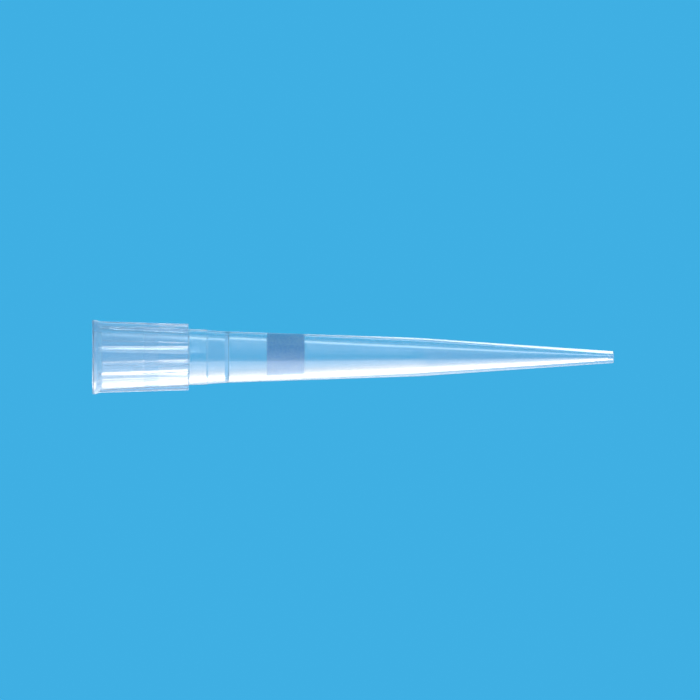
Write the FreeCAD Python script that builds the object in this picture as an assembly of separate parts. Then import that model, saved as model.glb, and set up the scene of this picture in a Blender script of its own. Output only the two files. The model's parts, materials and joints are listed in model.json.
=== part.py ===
import FreeCAD, Part
import math
import os

from FreeCAD import Vector

# A filter pipette tip: one polypropylene moulding, open at both ends, with a porous
# plug pressed into its barrel. It stands on the mouth of its collar with the outlet up.
# Millimetres. The origin is the centre of the mouth's end face, and +Z runs along the axis
# to the outlet. Every diameter below is a bore's; a wall or a projection stands on it.

# ---- heights along the axis, from the mouth ----
RIM_HEIGHT = 0.45
RIM_BLEND_HEIGHT = 0.50
COLLAR_HEIGHT = 9.62
NECK_HEIGHT = 1.88
TRANSITION_HEIGHT = 2.10
BARREL_LENGTH = 19.00
NOZZLE_LENGTH = 19.40

# ---- socket that a pipette's cone is pushed into ----
MOUTH_CHAMFER = 0.18
MOUTH_BORE = 5.36
LEAD_IN_DEPTH = 5.10
LEAD_IN_END_BORE = 4.94
SEAL_BORE = 4.88
SEAL_LENGTH = 1.50
SOCKET_END_BORE = 3.96

# ---- fluid path beyond the socket ----
BARREL_RELIEF = 0.12
BEND_BORE = 2.50
OUTLET_BORE = 0.46
OUTLET_LAND = 0.60

# ---- walls around those bores ----
COLLAR_MOUTH_WALL = 0.77
COLLAR_END_WALL = 0.788
NECK_TOP_WALL = 0.543
NECK_END_WALL = 0.617
MOULD_STEP = 0.055
BARREL_TOP_WALL = 0.45
BEND_WALL = 0.665
OUTLET_WALL = 0.355

# ---- rim and grip ribs on the collar ----
RIM_PROJECTION = 0.25
RIB_COUNT = 8
RIB_CREST_WIDTH = 0.28
RIB_FLANK_SLOPE = 0.65
RIB_MOUTH_PROJECTION = 0.20
RIB_END_PROJECTION = 0.35
RIB_EDGE_RADIUS = 0.16
RIB_ROOT_RADIUS = 0.20

# ---- roundings in the moulding's section ----
RIM_EDGE_RADIUS = 0.10
SHOULDER_ROOT_RADIUS = 0.06
BEND_RADIUS = 60.0
OUTLET_LIP_RADIUS = 0.10

# ---- porous filter plug ----
FILTER_DEPTH = 3.83
FILTER_LENGTH = 3.72
FILTER_CLEARANCE = 0.0

# ---- heights worked out from those above ----
NECK_END = COLLAR_HEIGHT + NECK_HEIGHT
SOCKET_DEPTH = NECK_END + TRANSITION_HEIGHT
BEND_HEIGHT = SOCKET_DEPTH + BARREL_LENGTH
OVERALL_LENGTH = BEND_HEIGHT + NOZZLE_LENGTH
SEAL_END = LEAD_IN_DEPTH + SEAL_LENGTH
LEDGE_STEP = (LEAD_IN_END_BORE - SEAL_BORE) / 2
BARREL_TOP_BORE = SOCKET_END_BORE + 2 * BARREL_RELIEF

AXIS = Vector(0, 0, 1)
ORIGIN = Vector(0, 0, 0)


def between(start, end, height):
    """The radius at a height on the straight line between two (radius, height) points."""
    share = (height - start[1]) / (end[1] - start[1])
    return start[0] + share * (end[0] - start[0])


def socket_radius(height):
    """The socket's radius at a height between its sealing land and its end."""
    return between((SEAL_BORE / 2, SEAL_END), (SOCKET_END_BORE / 2, SOCKET_DEPTH), height)


def barrel_radius(height):
    """The bore's radius at a height in the barrel, between the socket's end and the bend."""
    return between((BARREL_TOP_BORE / 2, SOCKET_DEPTH), (BEND_BORE / 2, BEND_HEIGHT), height)


COLLAR_MOUTH_RADIUS = MOUTH_BORE / 2 + COLLAR_MOUTH_WALL
COLLAR_END_RADIUS = socket_radius(COLLAR_HEIGHT) + COLLAR_END_WALL


def outside_corners():
    """(radius, height, rounding) of each corner of the outside, from the mouth to the outlet."""
    rim = COLLAR_MOUTH_RADIUS + RIM_PROJECTION
    neck_end = socket_radius(NECK_END) + NECK_END_WALL
    return [
        (rim, 0, RIM_EDGE_RADIUS),
        (rim, RIM_HEIGHT, RIM_EDGE_RADIUS),
        (COLLAR_MOUTH_RADIUS, RIM_HEIGHT + RIM_BLEND_HEIGHT, 0),
        (COLLAR_END_RADIUS, COLLAR_HEIGHT, 0),
        (socket_radius(COLLAR_HEIGHT) + NECK_TOP_WALL, COLLAR_HEIGHT, SHOULDER_ROOT_RADIUS),
        (neck_end, NECK_END, 0),
        (neck_end - MOULD_STEP, NECK_END, 0),
        (BARREL_TOP_BORE / 2 + BARREL_TOP_WALL, SOCKET_DEPTH, 0),
        (BEND_BORE / 2 + BEND_WALL, BEND_HEIGHT, BEND_RADIUS),
        (OUTLET_BORE / 2 + OUTLET_WALL, OVERALL_LENGTH, OUTLET_LIP_RADIUS),
    ]


def inside_corners():
    """(radius, height, rounding) of each corner of the bore, from the outlet to the mouth."""
    return [
        (OUTLET_BORE / 2, OVERALL_LENGTH, 0),
        (OUTLET_BORE / 2, OVERALL_LENGTH - OUTLET_LAND, 0),
        (BEND_BORE / 2, BEND_HEIGHT, BEND_RADIUS),
        (BARREL_TOP_BORE / 2, SOCKET_DEPTH, 0),
        (SOCKET_END_BORE / 2, SOCKET_DEPTH, 0),
        (SEAL_BORE / 2, SEAL_END, 0),
        (SEAL_BORE / 2, LEAD_IN_DEPTH, 0),
        (LEAD_IN_END_BORE / 2, LEAD_IN_DEPTH - LEDGE_STEP, 0),
        (MOUTH_BORE / 2, MOUTH_CHAMFER, 0),
        (MOUTH_BORE / 2 + MOUTH_CHAMFER, 0, 0),
    ]


def section_point(radius, height):
    return Vector(radius, 0, height)


def rounded_section(corners):
    """A flat face in the XZ plane whose outline runs through the corners, each rounded by its radius."""
    points = [section_point(radius, height) for radius, height, _ in corners]
    starts, arcs, ends = [], [], []
    for index, (_, _, rounding) in enumerate(corners):
        corner = points[index]
        back = (points[index - 1] - corner).normalize()
        ahead = (points[(index + 1) % len(points)] - corner).normalize()
        half_angle = back.getAngle(ahead) / 2
        reach = rounding / math.tan(half_angle)
        bisector = (back + ahead).normalize()
        starts.append(corner + back * reach)
        ends.append(corner + ahead * reach)
        arcs.append(corner + bisector * (rounding / math.sin(half_angle) - rounding))
    edges = []
    for index, (_, _, rounding) in enumerate(corners):
        if rounding:
            edges.append(Part.Arc(starts[index], arcs[index], ends[index]).toShape())
        following = starts[(index + 1) % len(corners)]
        edges.append(Part.LineSegment(ends[index], following).toShape())
    return Part.Face(Part.Wire(edges))


def turned(corners):
    return rounded_section(corners).revolve(ORIGIN, AXIS, 360)


def rib_cut(height, wall_radius, wall, projection):
    """The four corners of a rib at one height: half the wall deep, and wider toward its root."""
    half_crest = RIB_CREST_WIDTH / 2
    half_root = half_crest + RIB_FLANK_SLOPE * (projection + wall / 2)
    crest = wall_radius + projection
    root = wall_radius - wall / 2
    return [
        Vector(root, -half_root, height),
        Vector(crest, -half_crest, height),
        Vector(crest, half_crest, height),
        Vector(root, half_root, height),
    ]


def grip_rib():
    """One rib on +X: its crest falls away more slowly than the collar's wall, and ends at the shoulder."""
    near = rib_cut(RIM_HEIGHT / 2, COLLAR_MOUTH_RADIUS, COLLAR_MOUTH_WALL, RIB_MOUTH_PROJECTION)
    far = rib_cut(COLLAR_HEIGHT, COLLAR_END_RADIUS, COLLAR_END_WALL, RIB_END_PROJECTION)
    outlines = [near[::-1], far]
    for index in range(4):
        following = (index + 1) % 4
        outlines.append([near[index], near[following], far[following], far[index]])
    faces = [Part.Face(Part.makePolygon(outline + outline[:1])) for outline in outlines]
    blank = Part.Solid(Part.Shell(faces))
    long_edges = [edge for edge in blank.Edges if edge.Length > COLLAR_HEIGHT / 2]
    crest_edges = sorted(long_edges, key=lambda edge: edge.CenterOfMass.x)[-2:]
    return blank.makeFillet(RIB_EDGE_RADIUS, crest_edges)


def grip_ribs():
    rib = grip_rib()
    ribs = []
    for index in range(RIB_COUNT):
        copy = rib.copy()
        copy.rotate(ORIGIN, AXIS, index * 360 / RIB_COUNT)
        ribs.append(copy)
    return ribs


def is_rib_root(edge):
    """True for a long edge where a rib's flank runs into the collar's wall."""
    middle = edge.CenterOfMass
    if edge.Length < COLLAR_HEIGHT / 2 or not RIM_HEIGHT < middle.z < COLLAR_HEIGHT:
        return False
    share = (middle.z - RIM_HEIGHT) / (COLLAR_HEIGHT - RIM_HEIGHT)
    wall_radius = COLLAR_MOUTH_RADIUS + share * (COLLAR_END_RADIUS - COLLAR_MOUTH_RADIUS)
    return abs(math.hypot(middle.x, middle.y) - wall_radius) < RIB_MOUTH_PROJECTION / 4


def tip_body():
    """The whole moulding: collar, neck, barrel and nozzle around one stepped bore."""
    shell = turned(outside_corners() + inside_corners())
    moulding = shell.fuse(grip_ribs()).removeSplitter()
    return moulding.makeFillet(RIB_ROOT_RADIUS, [edge for edge in moulding.Edges if is_rib_root(edge)])


def filter_plug():
    """The plug takes the taper of the bore that it is squeezed into."""
    top = SOCKET_DEPTH + FILTER_DEPTH
    end = top + FILTER_LENGTH
    top_radius = barrel_radius(top) - FILTER_CLEARANCE
    end_radius = barrel_radius(end) - FILTER_CLEARANCE
    return turned(
        [
            (0, top, 0),
            (top_radius, top, 0),
            (end_radius, end, 0),
            (0, end, 0),
        ]
    )


def main():
    os.makedirs("parts", exist_ok=True)
    for name, shape in (("tip_body", tip_body()), ("filter_plug", filter_plug())):
        shape.exportStep(f"parts/{name}.step")
        print(name, "solids", len(shape.Solids), "valid", shape.isValid(), "volume", round(shape.Volume, 3))


main()
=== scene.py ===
import json
import math

import bmesh
import bpy
from mathutils import Matrix, Vector

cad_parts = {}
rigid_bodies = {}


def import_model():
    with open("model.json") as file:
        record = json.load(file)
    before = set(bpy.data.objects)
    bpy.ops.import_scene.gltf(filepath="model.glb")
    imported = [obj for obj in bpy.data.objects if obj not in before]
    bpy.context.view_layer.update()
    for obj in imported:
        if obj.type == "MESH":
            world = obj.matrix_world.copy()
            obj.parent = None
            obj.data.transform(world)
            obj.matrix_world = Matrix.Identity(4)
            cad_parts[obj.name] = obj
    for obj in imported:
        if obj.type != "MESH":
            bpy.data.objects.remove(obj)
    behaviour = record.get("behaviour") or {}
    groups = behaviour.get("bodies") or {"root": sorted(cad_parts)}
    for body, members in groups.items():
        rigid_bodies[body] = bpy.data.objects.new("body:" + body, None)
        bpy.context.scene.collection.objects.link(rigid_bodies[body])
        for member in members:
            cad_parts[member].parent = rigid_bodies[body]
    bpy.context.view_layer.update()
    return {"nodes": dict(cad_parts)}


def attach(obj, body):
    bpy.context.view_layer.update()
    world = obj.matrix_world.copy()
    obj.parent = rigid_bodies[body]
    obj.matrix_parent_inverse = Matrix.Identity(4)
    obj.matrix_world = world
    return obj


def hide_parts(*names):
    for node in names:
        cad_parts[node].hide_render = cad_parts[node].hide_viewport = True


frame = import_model()
print("frame loaded:", ", ".join(sorted(frame["nodes"])))

mm = 0.001  # sizes below are in millimetres
touch = 0.004  # how near a point has to be to count as on a ring
mostOfSide = 0.45  # share of a side that the rounding at its end may take


def startOnly(piece):
    bpy.ops.object.select_all(action="DESELECT")
    piece.select_set(True)
    bpy.context.view_layer.objects.active = piece


def pickNothing():
    bpy.ops.mesh.select_all(action="DESELECT")


def onRing(point, diameter, height):
    return abs(point.xy.length - diameter / 2) < touch and abs(point.z - height) < touch


def pickRing(piece, diameter, height):
    # the edges that run round one ring
    pickNothing()
    mesh = bmesh.from_edit_mesh(piece.data)
    for edge in mesh.edges:
        if all(onRing(vert.co / mm, diameter, height) for vert in edge.verts):
            edge.select_set(True)
    bmesh.update_edit_mesh(piece.data)


def startRing(name, diameter, height, sides):
    bpy.ops.object.select_all(action="DESELECT")
    onAxis = (0, 0, height * mm)
    bpy.ops.mesh.primitive_circle_add(vertices=sides, radius=diameter / 2 * mm, location=onAxis)
    piece = bpy.context.object
    piece.name = piece.data.name = name
    bpy.ops.object.transform_apply(location=True, rotation=True, scale=True)
    bpy.ops.object.mode_set(mode="EDIT")
    bpy.ops.mesh.select_mode(type="EDGE")
    bpy.ops.mesh.select_all(action="SELECT")
    return piece


def pullRing(here, there):
    # draws the selected ring out from one (diameter, height) to the next
    rise = (there[1] - here[1]) * mm
    bpy.ops.mesh.extrude_region_move(TRANSFORM_OT_translate={"value": (0, 0, rise)})
    share = there[0] / here[0]
    bpy.ops.transform.resize(value=(share, share, 1), center_override=(0, 0, there[1] * mm))


def finishShading(piece, angle):
    startOnly(piece)
    bpy.ops.object.shade_smooth_by_angle(angle=math.radians(angle))


def alongRun(here, there, share):
    # the (diameter, height) at a share of the way from one to the next
    return tuple(first + share * (last - first) for first, last in zip(here, there))


# tip body: one moulding, drawn ring by ring up the outside and back down the bore

body = {
    "sides": 288,  # a whole number of times the ribs
    # (diameter, height, rounding, rounding steps) up the outside
    "outside": [
        (7.40, 0.00, 0.10, 4),
        (7.40, 0.45, 0.10, 4),
        (7.28, 0.57, 0, 0),
        (6.90, 0.95, 0, 0),
        (6.06, 9.59, 0, 0),
        (6.00, 9.62, 0, 0),
        (5.57, 9.62, 0.06, 3),
        (5.47, 11.50, 0.02, 2),
        (5.36, 11.50, 0.02, 2),
        (5.10, 13.60, 0, 0),
        (3.83, 32.60, 1.05, 6),
        (1.17, 52.00, 0.10, 4),
    ],
    # and down the bore
    "bore": [
        (0.46, 52.00, 0.03, 3),
        (0.46, 51.40, 0, 0),
        (2.50, 32.60, 1.05, 6),
        (4.20, 13.60, 0.03, 3),
        (4.07, 13.60, 0.03, 3),
        (4.005, 13.25, 0, 0),
        (4.79, 6.60, 0, 0),
        (4.88, 5.10, 0.015, 2),
        (4.94, 5.07, 0.015, 2),
        (5.36, 0.18, 0.03, 2),
        (5.72, 0.00, 0.03, 2),
    ],
    "hold": 0.05,  # how far beyond each corner a ring holds the wall's shading true
    "wallRings": (2, 6),  # which of the outside's corners carry the ribs
    "ribs": 8,
    # height up the collar, and how far the ribs stand out there
    "ribStand": ((0.57, 0.0), (0.95, 0.18), (9.59, 0.35), (9.62, 0.35)),
    "ribCrest": 0.28,
    "ribSlope": 0.65,  # how much a flank goes sideways for its height
    "ribEdge": 0.18,  # rounding along the crest
    "ribRoot": 0.22,  # rounding along the foot
    "ribBeyond": 0.1,  # share of the wall's radius that the foot's rounding may count on
    "ribSteps": 5,
    "smoothUnder": 32,  # degrees
}


def heldRings(corners):
    # the corners with a plain ring close by on each side, as (diameter, height)
    rings = []
    for index, (diameter, height, rounding, steps) in enumerate(corners):
        beside = []
        for other in (corners[index - 1], corners[(index + 1) % len(corners)]):
            run = math.hypot((other[0] - diameter) / 2, other[1] - height)
            reach = rounding + body["hold"]
            roomy = run > 2 * reach + other[2]
            beside.append(alongRun((diameter, height), other, reach / run) if roomy else None)
        rings += [ring for ring in (beside[0], (diameter, height), beside[1]) if ring]
    return rings


def along(line, height):
    # a value at a height on a line of (height, value) points
    for low, high in zip(line, line[1:]):
        if height <= high[0]:
            break
    share = (height - low[0]) / (high[0] - low[0])
    return low[1] + share * (high[1] - low[1])


def wallRadius(height):
    first, last = body["wallRings"]
    return along([(ring[1], ring[0] / 2) for ring in body["outside"][first:last]], height)


def ribStand(height):
    return along(body["ribStand"], height)


def roundedCorner(before, corner, after, radius, steps):
    # points along the rounding of a corner, which is smaller where a side is short
    back, ahead = (before - corner), (after - corner)
    half = back.angle(ahead) / 2
    reach = min(radius / math.tan(half), back.length * mostOfSide, ahead.length * mostOfSide)
    back, ahead = back.normalized(), ahead.normalized()
    toMiddle = (back + ahead).normalized()
    middle = corner + toMiddle * reach / math.cos(half)
    start, end = corner + back * reach - middle, corner + ahead * reach - middle
    sweep = start.angle_signed(end)
    return [middle + Matrix.Rotation(-sweep * step / steps, 2) @ start for step in range(steps + 1)]


def ribSection(height):
    # half of a rib's section from its crest's edge out to the wall, as (across, out from the axis)
    wall, stand = wallRadius(height), ribStand(height)
    halfCrest = body["ribCrest"] / 2
    foot = halfCrest + body["ribSlope"] * stand
    top = Vector((0, wall + stand))
    crest = Vector((halfCrest, wall + stand))
    root = Vector((foot, math.sqrt(wall ** 2 - foot ** 2)))
    beyond = root + Vector((root.y, -root.x)) * body["ribBeyond"]
    steps = body["ribSteps"]
    crestSide = roundedCorner(top, crest, root, body["ribEdge"], steps)
    rootSide = roundedCorner(crest, root, beyond, body["ribRoot"], steps)
    return crestSide + rootSide


def ribPlaces(height, turn, halfRib):
    # (radius, angle) of each point from a rib's middle to halfway to the next rib
    wall = wallRadius(height)
    spots = [Vector((0, wall + ribStand(height)))] + ribSection(height)
    places = [(spot.length, math.atan2(spot.x, spot.y)) for spot in spots]
    last = places[-1][1]
    left = halfRib - len(places) + 1
    return places + [(wall, last + (turn / 2 - last) * step / left) for step in range(1, left)]


def pointsByRib(piece, diameter, height, perRib):
    # the ring's points, gathered by how many points they stand away from the nearest rib's middle
    gathered = {}
    for vert in bmesh.from_edit_mesh(piece.data).verts:
        if onRing(vert.co / mm, diameter, height):
            off = round(math.atan2(vert.co.y, vert.co.x) / math.tau * body["sides"]) % perRib
            off = off - perRib if off > perRib // 2 else off
            gathered.setdefault(off, []).append(vert.index)
    return gathered


def movePoints(piece, indices, share, angle, height):
    pickNothing()
    mesh = bmesh.from_edit_mesh(piece.data)
    mesh.verts.ensure_lookup_table()
    for index in indices:
        mesh.verts[index].select_set(True)
    onAxis = (0, 0, height * mm)
    bpy.ops.transform.resize(value=(share, share, 1), center_override=onAxis)
    # with no window this operator turns the other way
    bpy.ops.transform.rotate(value=-angle, orient_axis="Z", center_override=onAxis)


def addRibs(piece, rings):
    # each ring of the collar's wall is drawn out into the ribs' section, all ribs at once
    turn = math.tau / body["ribs"]
    perRib = body["sides"] // body["ribs"]
    top = body["ribStand"][-1][0]
    for diameter, height in rings:
        onWall = height < top + touch and abs(diameter / 2 - wallRadius(height)) < touch
        if not onWall or ribStand(height) < touch:
            continue
        places = ribPlaces(height, turn, perRib // 2)
        for off, indices in pointsByRib(piece, diameter, height, perRib).items():
            if abs(off) < len(places):
                radius, angle = places[abs(off)]
                angle = math.copysign(angle, off) - off * turn / perRib
                movePoints(piece, indices, radius * 2 / diameter, angle, height)


def makeTipBody():
    corners = body["outside"] + body["bore"]
    rings = heldRings(corners)
    piece = startRing("tipBody", *rings[0], body["sides"])
    for here, there in zip(rings, rings[1:]):
        pullRing(here, there)
    pickNothing()
    bpy.ops.mesh.select_non_manifold(extend=False, use_boundary=True, use_wire=False)
    bpy.ops.mesh.bridge_edge_loops()
    bpy.ops.mesh.select_all(action="SELECT")
    bpy.ops.mesh.normals_make_consistent(inside=False)
    print("tip body: wall and bore drawn,", len(rings), "rings")
    bpy.ops.mesh.select_mode(type="VERT")
    addRibs(piece, rings)
    print("tip body:", body["ribs"], "ribs raised and rounded")
    for diameter, height, rounding, steps in corners:
        if rounding:
            pickRing(piece, diameter, height)
            bpy.ops.mesh.bevel(offset=rounding * mm, offset_type="OFFSET", segments=steps)
    bpy.ops.object.mode_set(mode="OBJECT")
    finishShading(piece, body["smoothUnder"])
    return piece


# filter plug: a short rod of sintered beads, pressed into the barrel's bore

plug = {
    "start": 17.43,
    "end": 21.15,
    "startDiameter": 3.857,
    "endDiameter": 3.524,
    "slack": 0.012,  # how much less its radius is than the bore's
    "lean": 0.022,  # how far it sits to one side, where it presses into the wall
    "leanSide": 193.5,  # which side, in degrees
    "sides": 128,
    "rings": 44,
    "endRings": 4,
    "smoothUnder": 40,
}


def makePlug():
    bottom = (plug["startDiameter"] - 2 * plug["slack"], plug["start"])
    top = (plug["endDiameter"] - 2 * plug["slack"], plug["end"])
    rings = [alongRun(bottom, top, step / plug["rings"]) for step in range(plug["rings"] + 1)]
    piece = startRing("filterPlug", *bottom, plug["sides"])
    for here, there in zip(rings, rings[1:]):
        pullRing(here, there)
    endRing = bottom[0] / 2 / (plug["endRings"] + 1)
    for diameter, height in (rings[0], rings[-1]):
        pickRing(piece, diameter, height)
        bpy.ops.mesh.edge_face_add()
        for _ in range(plug["endRings"]):
            bpy.ops.mesh.inset(thickness=endRing * mm)
        bpy.ops.mesh.poke()
    bpy.ops.mesh.select_all(action="SELECT")
    bpy.ops.mesh.normals_make_consistent(inside=False)
    side = math.radians(plug["leanSide"])
    lean = plug["lean"] * mm
    bpy.ops.transform.translate(value=(lean * math.cos(side), lean * math.sin(side), 0))
    bpy.ops.object.mode_set(mode="OBJECT")
    finishShading(piece, plug["smoothUnder"])
    print("filter plug made")
    return piece


def newMaterial(name):
    material = bpy.data.materials.new(name)
    material.use_nodes = True
    tree = material.node_tree
    shader = tree.nodes["Principled BSDF"]
    return material, tree, shader


def addNoise(tree, scale, detail, stretch=(1, 1, 1)):
    # noise over the piece's own coordinates, its features about one over scale metres wide
    place = tree.nodes.new("ShaderNodeTexCoord")
    mapping = tree.nodes.new("ShaderNodeMapping")
    mapping.inputs["Scale"].default_value = stretch
    noise = tree.nodes.new("ShaderNodeTexNoise")
    noise.inputs["Scale"].default_value = scale
    noise.inputs["Detail"].default_value = detail
    tree.links.new(place.outputs["Object"], mapping.inputs["Vector"])
    tree.links.new(mapping.outputs["Vector"], noise.inputs["Vector"])
    return noise


def mapRange(tree, source, fromRange, toRange):
    node = tree.nodes.new("ShaderNodeMapRange")
    for name, value in zip(("From Min", "From Max", "To Min", "To Max"), (*fromRange, *toRange)):
        node.inputs[name].default_value = value
    tree.links.new(source, node.inputs["Value"])
    return node.outputs["Result"]


def mixColour(tree, source, low, high):
    # low and high are each a colour or another node's output
    node = tree.nodes.new("ShaderNodeMix")
    node.data_type = "RGBA"
    for name, colour in (("A", low), ("B", high)):
        if isinstance(colour, tuple):
            node.inputs[name].default_value = (*colour, 1)
        else:
            tree.links.new(colour, node.inputs[name])
    tree.links.new(source, node.inputs["Factor"])
    return node.outputs["Result"]


def addBump(tree, height, strength, depth):
    bump = tree.nodes.new("ShaderNodeBump")
    bump.inputs["Strength"].default_value = strength
    bump.inputs["Distance"].default_value = depth
    tree.links.new(height, bump.inputs["Height"])
    return bump


# its heights are in metres
clear = {
    "colours": ((0.97, 0.98, 0.985), (0.99, 0.995, 1.0)),
    "cloud": (700, 3, (1, 1, 0.35)),  # slow change between the two: scale, detail, stretch
    "clearness": (0.87, 0.97),  # collar and the rest
    "rimClearness": 0.81,  # the rim looks milkier, lit along its wall
    "rimEnd": (0.0007, 0.0010),  # from where it clears, and is clear
    "grain": (26000, 2),  # scale and detail of the skin's fine grain
    "polished": (0.02, 0.25),  # roughness of the polished skin, and of its milky specks
    "specks": (0.49, 0.65),  # from where in the grain the specks start, and are full
    "satin": (0.06, 0.14),  # roughness of the collar's finely textured skin
    "satinGrain": (0.40, 0.60),  # where in the grain it is smoothest, and roughest
    "satinEnd": (0.0092, 0.0098),  # from where it fades, and is gone
    "drawn": (2600, 3, (1, 1, 0.06)),  # faint streaks along the tip: scale, detail, stretch
    "streaks": (0.10, 0.00001),  # their strength and depth
    "refraction": 1.49,
}


def clearPolypropylene():
    material, tree, shader = newMaterial("clearPolypropylene")
    link = tree.links.new
    grain = addNoise(tree, *clear["grain"])
    polished = mapRange(tree, grain.outputs["Fac"], clear["specks"], clear["polished"])
    satin = mapRange(tree, grain.outputs["Fac"], clear["satinGrain"], clear["satin"])
    place = tree.nodes.new("ShaderNodeTexCoord")
    parted = tree.nodes.new("ShaderNodeSeparateXYZ")
    link(place.outputs["Object"], parted.inputs["Vector"])
    skin = tree.nodes.new("ShaderNodeMix")
    link(mapRange(tree, parted.outputs["Z"], clear["satinEnd"], (0, 1)), skin.inputs["Factor"])
    beyondRim = mapRange(tree, parted.outputs["Z"], clear["satinEnd"], clear["clearness"])
    milky = mapRange(tree, parted.outputs["Z"], clear["rimEnd"], (clear["rimClearness"], 1))
    link(beyondRim, milky.node.inputs["To Max"])
    link(milky, shader.inputs["Transmission Weight"])
    link(satin, skin.inputs["A"])
    link(polished, skin.inputs["B"])
    link(skin.outputs["Result"], shader.inputs["Roughness"])
    cloud = addNoise(tree, *clear["cloud"])
    link(mixColour(tree, cloud.outputs["Fac"], *clear["colours"]), shader.inputs["Base Color"])
    drawn = addNoise(tree, *clear["drawn"])
    bump = addBump(tree, drawn.outputs["Fac"], *clear["streaks"])
    link(bump.outputs["Normal"], shader.inputs["Normal"])
    shader.inputs["IOR"].default_value = clear["refraction"]
    return material


beads = {
    "scale": 6500,  # beads to the metre
    "shadedHollows": (0.15, 0.75),  # how far from a bead's middle a hollow starts, and is full
    # the second colour, darker and bluer, is painted shade in the hollows between the beads, not a
    # colour of the plastic
    "colours": ((0.86, 0.92, 0.97), (0.64, 0.77, 0.92)),  # on a bead, and in a hollow
    "roughness": (0.55, 0.9),
    "relief": (0.35, 0.00004),  # strength, and depth in metres
}


def sinteredPolyethylene():
    material, tree, shader = newMaterial("sinteredPolyethylene")
    link = tree.links.new
    place = tree.nodes.new("ShaderNodeTexCoord")
    packed = tree.nodes.new("ShaderNodeTexVoronoi")
    packed.inputs["Scale"].default_value = beads["scale"]
    link(place.outputs["Object"], packed.inputs["Vector"])
    # the hollows between the beads get painted shade: a darker, bluer colour, plus rougher skin
    shadedHollow = mapRange(tree, packed.outputs["Distance"], beads["shadedHollows"], (0, 1))
    link(mixColour(tree, shadedHollow, *beads["colours"]), shader.inputs["Base Color"])
    link(mapRange(tree, shadedHollow, (0, 1), beads["roughness"]), shader.inputs["Roughness"])
    bump = addBump(tree, packed.outputs["Distance"], *beads["relief"])
    bump.invert = True
    link(bump.outputs["Normal"], shader.inputs["Normal"])
    return material


tipBody = makeTipBody()
tipBody.data.materials.append(clearPolypropylene())
filterPlug = makePlug()
filterPlug.data.materials.append(sinteredPolyethylene())
for piece, node, slot in ((tipBody, "tip_body", "natural_polypropylene"),
                          (filterPlug, "filter_plug", "sintered_polyethylene")):
    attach(piece, "root")
    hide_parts(node)


# studio: camera across the tip, a pale floor, and soft lamps each side

# metres, but for the view's own sizes, which are millimetres
studio = {
    "cameraTurn": 13.5,  # degrees round from looking along +Y
    "cameraAway": 0.5,
    "viewWidth": 69.76,
    "viewMiddle": 25.70,
    "viewDrop": 0.70,
    "backdrop": (0.05, 0.43, 0.77),
    "room": (0.02, 0.31, 0.76),  # what the plastic mirrors from the camera's side
    # how far a direction turns to the camera where the room starts to show, and shows fully
    "roomFrom": (0.2, 0.6),
    # the backdrop turns white round one side of the tip: how far round from straight behind it
    # in degrees (+ is down in the picture), and how white
    "paling": (
        (-90, 0.1), (-50, 0.1), (-40, 0.0), (-14, 0.0), (-10, 0.06), (-0.6, 0.06), (-0.2, 0.0),
        (0.2, 0.0), (0.6, 0.06), (2.5, 0.22), (5, 0.35), (8, 0.52), (12, 0.76), (16, 1.0),
    ),
    "floor": (0.24, 0.58, 0.84),
    "floorSize": 6,
    "floorRoughness": 0.9,
    "floorShine": 0.1,
    "floorLit": 0.3,  # share of the floor's look that comes from the lamps
    "below": (0.205, 0.527, 0.855),  # past the floor's edge: as the floor looks once it is lit
    # how far up a direction points where that colour starts to show, and shows fully
    "belowFrom": (-0.02, -0.05),
    "ambient": (0.08, 0.42, 1.0),
    "ambientLevel": 0.6,
    # a panel along the line of sight: side (+ is down in the picture), its nearest and farthest
    # along that line, lowest and highest, and its own brightness
    "sidePanel": (0.15, 0.13, -0.32, 0.0, 0.32, 1.2),
    # panels square to the line of sight: how far toward the camera, how far round each reaches
    # from straight behind (or before) the tip in degrees, lowest and highest, and brightness
    "squarePanels": {
        "backStrip": (-0.30, -23, -15, -0.04, 0.16, 0.50),
        "frontPanel": (0.40, 20, 56, 0.0, 0.32, 1.8),
    },
    # a small lamp that the foremost rib's flat crest mirrors: degrees round from the camera
    # (+ is down in the picture), distance, width, lowest and highest, brightness, and its beam
    # in degrees
    "crestLamp": (-27, 0.05, 0.016, 0.0038, 0.0120, 0.42, 24),
    "topSoftbox": (0.85, 0.6, 0.9),  # height, width, brightness
}

turn = math.radians(studio["cameraTurn"])
towardCamera = Vector((math.sin(turn), -math.cos(turn), 0))
sideways = Vector((math.cos(turn), math.sin(turn), 0))  # down in the picture
alongTip = Vector((0, 0, 1))  # to the right in the picture


def makeCamera():
    bpy.ops.object.camera_add()
    camera = bpy.context.object
    camera.data.type = "ORTHO"
    camera.data.ortho_scale = studio["viewWidth"] * mm
    middle = alongTip * (studio["viewMiddle"] * mm) - sideways * studio["viewDrop"] * mm
    axes = Matrix((alongTip, -sideways, towardCamera)).transposed()
    place = middle + towardCamera * studio["cameraAway"]
    camera.matrix_world = Matrix.Translation(place) @ axes.to_4x4()
    bpy.context.scene.camera = camera


def makePanel(name, place, facing, width, height, glow):
    bpy.ops.object.light_add(type="AREA", location=place)
    lamp = bpy.context.object
    lamp.name = name
    lamp.data.shape = "RECTANGLE"
    lamp.data.size = width
    lamp.data.size_y = height
    lamp.data.energy = glow * math.pi * width * height
    axes = Matrix((alongTip.cross(-facing), alongTip, -facing)).transposed()
    lamp.rotation_mode = "QUATERNION"
    lamp.rotation_quaternion = axes.to_quaternion()
    return lamp


def makeSidePanel(name, side, near, far, low, high, glow):
    place = sideways * side + towardCamera * (near + far) / 2
    place.z = (low + high) / 2
    makePanel(name, place, -sideways if side > 0 else sideways, abs(near - far), high - low, glow)


def makeSquarePanel(name, distance, start, end, low, high, glow):
    left, right = (abs(distance) * math.tan(math.radians(reach)) for reach in (start, end))
    place = sideways * (left + right) / 2 + towardCamera * distance
    place.z = (low + high) / 2
    facing = towardCamera if distance < 0 else -towardCamera
    makePanel(name, place, facing, abs(right - left), high - low, glow)


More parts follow.
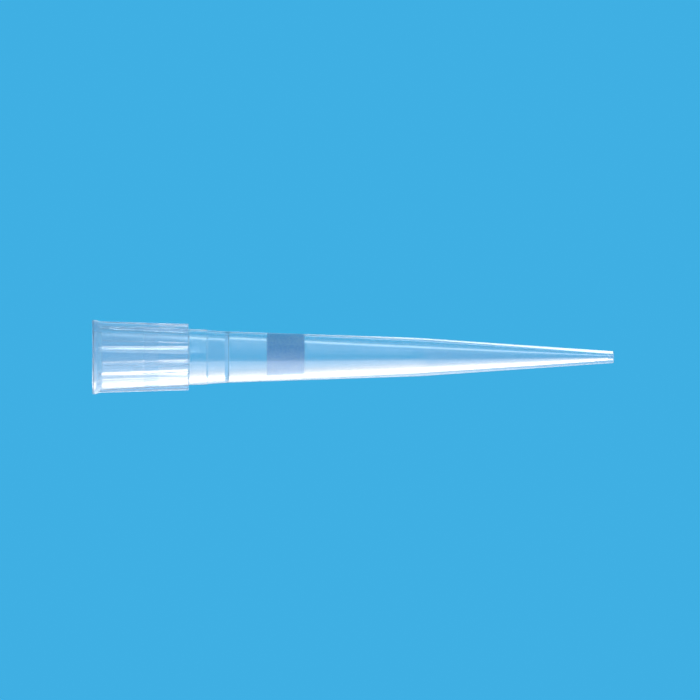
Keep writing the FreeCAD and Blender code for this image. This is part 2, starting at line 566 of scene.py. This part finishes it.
def makeCrestLamp(around, distance, width, low, high, glow, beam):
    angle = math.radians(around)
    facing = -(towardCamera * math.cos(angle) + sideways * math.sin(angle))
    place = -facing * distance
    place.z = (low + high) / 2
    lamp = makePanel("crestLamp", place, facing, width, high - low, glow)
    lamp.data.spread = math.radians(beam)
    lamp.visible_diffuse = lamp.visible_transmission = False


def makeTopSoftbox(height, width, glow):
    bpy.ops.object.light_add(type="AREA", location=(0, 0, height))
    lamp = bpy.context.object
    lamp.name = "topSoftbox"
    lamp.data.shape = "DISK"
    lamp.data.size = width
    lamp.data.energy = glow * math.pi * math.pi * (width / 2) ** 2


def seenDirectly(tree):
    # 1 for camera, mirror and clear-plastic rays, 0 for the light that falls on things
    path = tree.nodes.new("ShaderNodeLightPath")
    first = tree.nodes.new("ShaderNodeMath")
    second = tree.nodes.new("ShaderNodeMath")
    first.operation = second.operation = "MAXIMUM"
    tree.links.new(path.outputs["Is Camera Ray"], first.inputs[0])
    tree.links.new(path.outputs["Is Glossy Ray"], first.inputs[1])
    tree.links.new(first.outputs[0], second.inputs[0])
    tree.links.new(path.outputs["Is Transmission Ray"], second.inputs[1])
    return second.outputs[0]


def makeFloor():
    bpy.ops.mesh.primitive_plane_add(size=studio["floorSize"])
    floor = bpy.context.object
    floor.name = "floor"
    material, tree, shader = newMaterial("paleFloor")
    shader.inputs["Base Color"].default_value = (*studio["floor"], 1)
    shader.inputs["Roughness"].default_value = studio["floorRoughness"]
    shader.inputs["Specular IOR Level"].default_value = studio["floorShine"]
    glow = tree.nodes.new("ShaderNodeEmission")
    glow.inputs["Color"].default_value = (*studio["floor"], 1)
    share = mapRange(tree, seenDirectly(tree), (0, 1), (0, 1 - studio["floorLit"]))
    mix = tree.nodes.new("ShaderNodeMixShader")
    tree.links.new(share, mix.inputs["Fac"])
    tree.links.new(shader.outputs[0], mix.inputs[1])
    tree.links.new(glow.outputs[0], mix.inputs[2])
    tree.links.new(mix.outputs[0], tree.nodes["Material Output"].inputs["Surface"])
    floor.data.materials.append(material)


def shareAlong(tree, direction, way):
    dot = tree.nodes.new("ShaderNodeVectorMath")
    dot.operation = "DOT_PRODUCT"
    dot.inputs[1].default_value = way
    tree.links.new(direction, dot.inputs[0])
    return dot.outputs["Value"]


def makeWorld():
    world = bpy.data.worlds.new("studioWorld")
    bpy.context.scene.world = world
    world.use_nodes = True
    tree = world.node_tree
    tree.nodes.clear()
    link = tree.links.new
    direction = tree.nodes.new("ShaderNodeTexCoord").outputs["Generated"]
    toCamera = shareAlong(tree, direction, towardCamera)
    aside = shareAlong(tree, direction, sideways)
    # the ramp covers sines from -1 to 1
    ramp = tree.nodes.new("ShaderNodeValToRGB")
    link(mapRange(tree, aside, (-1, 1), (0, 1)), ramp.inputs["Fac"])
    stops = ramp.color_ramp.elements
    while len(stops) < len(studio["paling"]):
        stops.new(0)
    for stop, (angle, white) in zip(stops, studio["paling"]):
        stop.position = math.sin(math.radians(angle)) / 2 + 0.5
        stop.color = (white, white, white, 1)
    behind = mixColour(tree, ramp.outputs["Color"], studio["backdrop"], (1, 1, 1))
    before = mapRange(tree, toCamera, studio["roomFrom"], (0, 1))
    sweep = mixColour(tree, before, behind, studio["room"])
    # past the floor's edge, looking down shows the floor's colour
    height = tree.nodes.new("ShaderNodeSeparateXYZ")
    link(direction, height.inputs[0])
    down = mapRange(tree, height.outputs["Z"], studio["belowFrom"], (0, 1))
    seen = tree.nodes.new("ShaderNodeBackground")
    link(mixColour(tree, down, sweep, studio["below"]), seen.inputs["Color"])
    around = tree.nodes.new("ShaderNodeBackground")
    around.inputs["Color"].default_value = (*studio["ambient"], 1)
    around.inputs["Strength"].default_value = studio["ambientLevel"]
    mix = tree.nodes.new("ShaderNodeMixShader")
    out = tree.nodes.new("ShaderNodeOutputWorld")
    link(seenDirectly(tree), mix.inputs["Fac"])
    link(around.outputs[0], mix.inputs[1])
    link(seen.outputs[0], mix.inputs[2])
    link(mix.outputs[0], out.inputs["Surface"])


makeCamera()
makeFloor()
makeWorld()
makeSidePanel("sidePanel", *studio["sidePanel"])
for name, panel in studio["squarePanels"].items():
    makeSquarePanel(name, *panel)
makeCrestLamp(*studio["crestLamp"])
makeTopSoftbox(*studio["topSoftbox"])
bpy.context.scene.view_settings.view_transform = "Standard"
print("studio ready")
